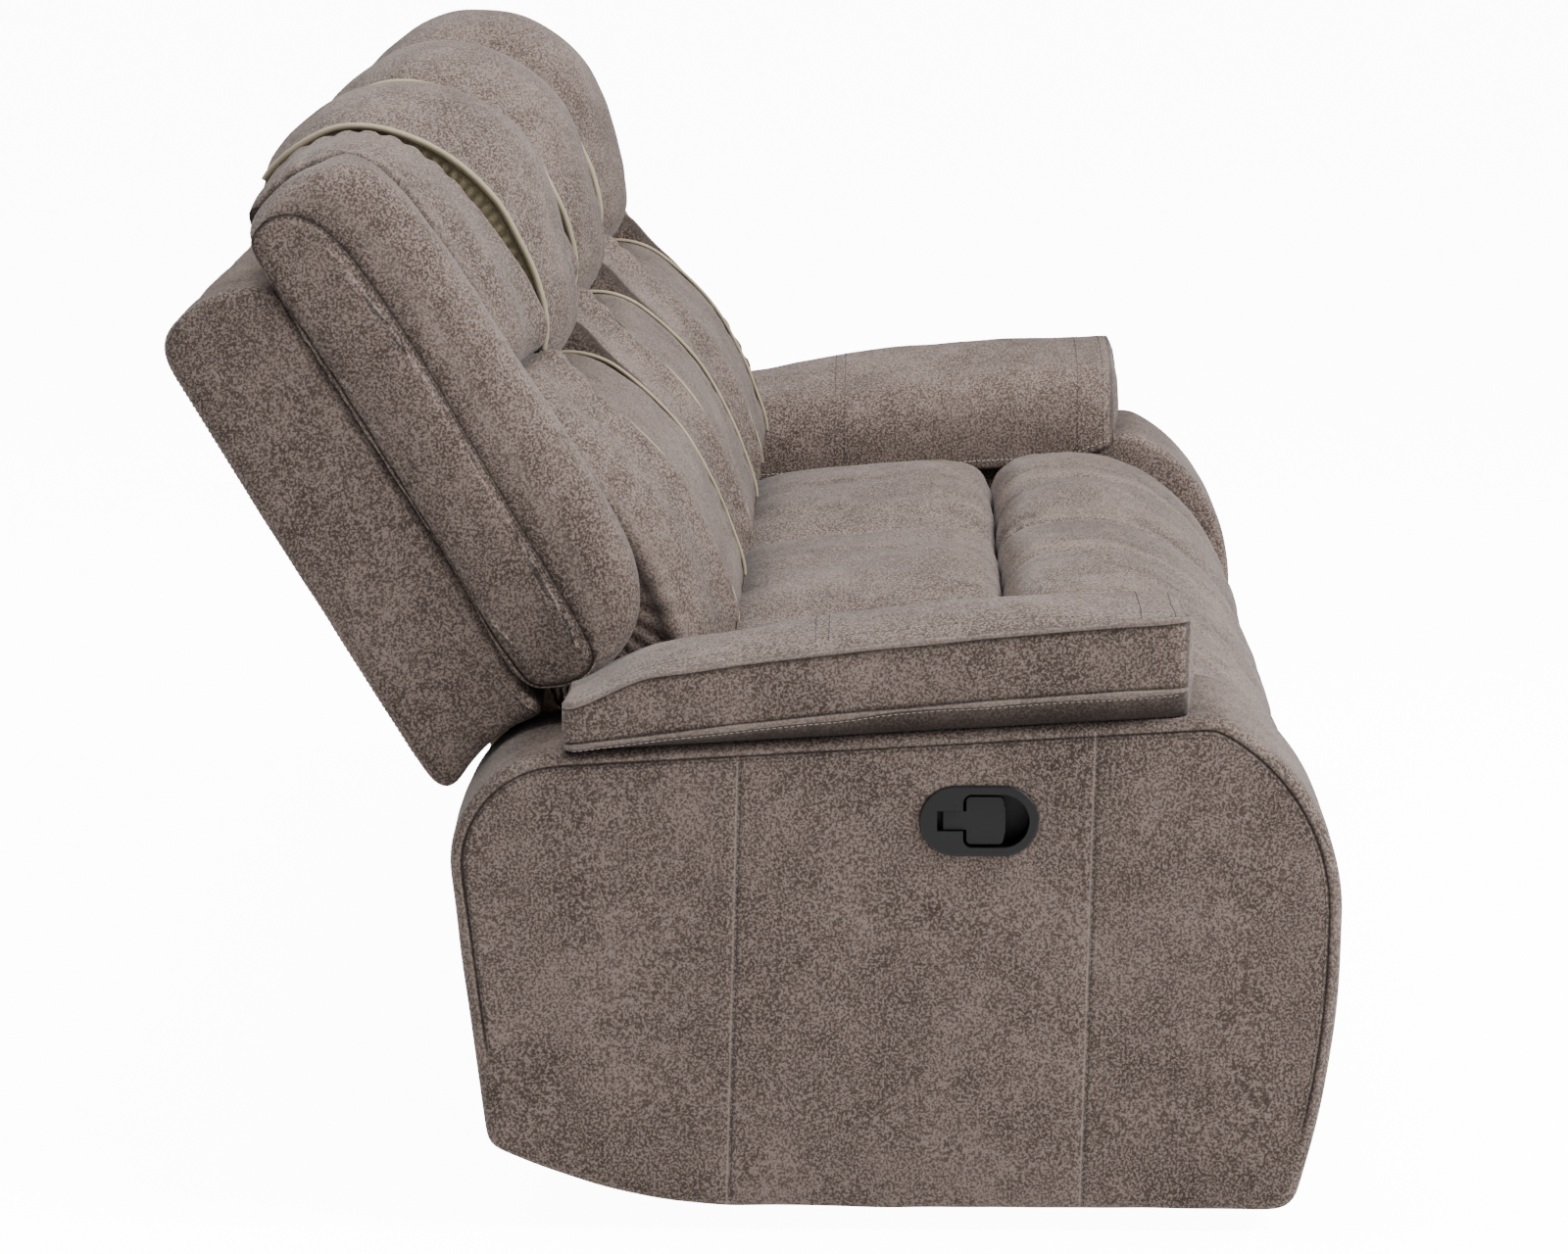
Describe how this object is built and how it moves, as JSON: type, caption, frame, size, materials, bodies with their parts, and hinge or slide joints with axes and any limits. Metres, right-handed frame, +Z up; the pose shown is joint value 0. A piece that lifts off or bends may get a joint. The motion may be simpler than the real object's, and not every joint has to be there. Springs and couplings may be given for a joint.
{
  "type": "reclining sofa",
  "caption": "Three-seat reclining sofa with pillow backs, padded arms, fold-out footrests on links and a recessed pull handle in each arm",
  "frame": {"origin": "on the floor, at the bottom centre of the overall box", "axes": "+X towards the sitter's left along the width, -Y towards the front, +Z up"},
  "size_m": [2.1754, 1.0985, 1.0227],
  "materials": {
    "suede": "mottled taupe faux suede with a fine pebbled grain",
    "timber": "plain sawn hardwood and plywood",
    "mechanism_steel": "black semi-gloss powder coat",
    "spring_steel": "oiled spring steel",
    "glide_plastic": "matte black",
    "handle_plastic": "satin black",
    "cable_sheath": "matte black"
  },
  "bodies": {
    "base": {"arm_cover_right": "suede", "arm_cover_left": "suede", "arm_frame_right": "timber", "arm_frame_left": "timber", "arm_pad_right": "suede", "arm_pad_left": "suede", "handle_bezel_right": "handle_plastic", "handle_bezel_left": "handle_plastic", "release_cable_right": "cable_sheath", "release_cable_left": "cable_sheath", "base_rails": "timber", "legs": "timber", "glides": "glide_plastic", "rear_panel": "suede", "front_panel": "suede", "seat_springs": "spring_steel", "mechanism_plates_right": "mechanism_steel", "mechanism_plates_left": "mechanism_steel", "seat_box_right": "timber", "seat_cushion_right": "suede", "front_roll_right": "suede", "seat_box_centre": "timber", "seat_cushion_centre": "suede", "front_roll_centre": "suede", "seat_box_left": "timber", "seat_cushion_left": "suede", "front_roll_left": "suede", "back_shell_centre": "suede", "back_frame_centre": "timber", "back_brackets_centre": "mechanism_steel", "head_pad_centre": "suede", "head_sides_centre": "suede", "lumbar_pad_centre": "suede", "lumbar_sides_centre": "suede"},
    "back_right": {"back_shell_right": "suede", "back_frame_right": "timber", "back_brackets_right": "mechanism_steel", "head_pad_right": "suede", "head_sides_right": "suede", "lumbar_pad_right": "suede", "lumbar_sides_right": "suede", "wing_right": "suede"},
    "lower_link_right": {"lower_links_right": "mechanism_steel"},
    "upper_link_right": {"upper_links_right": "mechanism_steel"},
    "footrest_right": {"footrest_board_right": "timber", "footrest_pad_right": "suede"},
    "lever_right": {"handle_lever_right": "handle_plastic"},
    "back_left": {"back_shell_left": "suede", "back_frame_left": "timber", "back_brackets_left": "mechanism_steel", "head_pad_left": "suede", "head_sides_left": "suede", "lumbar_pad_left": "suede", "lumbar_sides_left": "suede", "wing_left": "suede"},
    "lower_link_left": {"lower_links_left": "mechanism_steel"},
    "upper_link_left": {"upper_links_left": "mechanism_steel"},
    "footrest_left": {"footrest_board_left": "timber", "footrest_pad_left": "suede"},
    "lever_left": {"handle_lever_left": "handle_plastic"}
  },
  "joints": [
    {"name": "recline_right", "type": "hinge", "parent": "base", "child": "back_right", "pos_m": [-0.552, 0.17, 0.345], "axis": [-1, 0, 0], "range_deg": [0, 28]},
    {"name": "footrest_open_right", "type": "hinge", "parent": "base", "child": "lower_link_right", "pos_m": [-0.552, -0.327, 0.242], "axis": [-1, 0, 0], "range_deg": [0, 146.38]},
    {"name": "footrest_knee_right", "type": "hinge", "parent": "lower_link_right", "child": "upper_link_right", "pos_m": [-0.552, -0.13151, 0.1837], "axis": [-1, 0, 0], "range_deg": [-101, 0]},
    {"name": "footrest_tilt_right", "type": "hinge", "parent": "upper_link_right", "child": "footrest_right", "pos_m": [-0.552, -0.436, 0.092], "axis": [-1, 0, 0], "range_deg": [0, 44.6]},
    {"name": "release_lever_right", "type": "hinge", "parent": "base", "child": "lever_right", "pos_m": [-1.076, -0.181, 0.39], "axis": [0, 0, -1], "range_deg": [0, 30], "stiffness_Nm_per_rad": 0.4},
    {"name": "recline_left", "type": "hinge", "parent": "base", "child": "back_left", "pos_m": [0.552, 0.17, 0.345], "axis": [-1, 0, 0], "range_deg": [0, 28]},
    {"name": "footrest_open_left", "type": "hinge", "parent": "base", "child": "lower_link_left", "pos_m": [0.552, -0.327, 0.242], "axis": [-1, 0, 0], "range_deg": [0, 146.38]},
    {"name": "footrest_knee_left", "type": "hinge", "parent": "lower_link_left", "child": "upper_link_left", "pos_m": [0.552, -0.13151, 0.1837], "axis": [-1, 0, 0], "range_deg": [-101, 0]},
    {"name": "footrest_tilt_left", "type": "hinge", "parent": "upper_link_left", "child": "footrest_left", "pos_m": [0.552, -0.436, 0.092], "axis": [-1, 0, 0], "range_deg": [0, 44.6]},
    {"name": "release_lever_left", "type": "hinge", "parent": "base", "child": "lever_left", "pos_m": [1.076, -0.181, 0.39], "axis": [0, 0, 1], "range_deg": [0, 30], "stiffness_Nm_per_rad": 0.4}
  ],
  "couplings": [
    {"joint": "footrest_knee_right", "follows": "footrest_open_right", "ratio": -0.68943},
    {"joint": "footrest_tilt_right", "follows": "footrest_open_right", "ratio": 0.30429},
    {"joint": "footrest_knee_left", "follows": "footrest_open_left", "ratio": -0.68943},
    {"joint": "footrest_tilt_left", "follows": "footrest_open_left", "ratio": 0.30429}
  ]
}
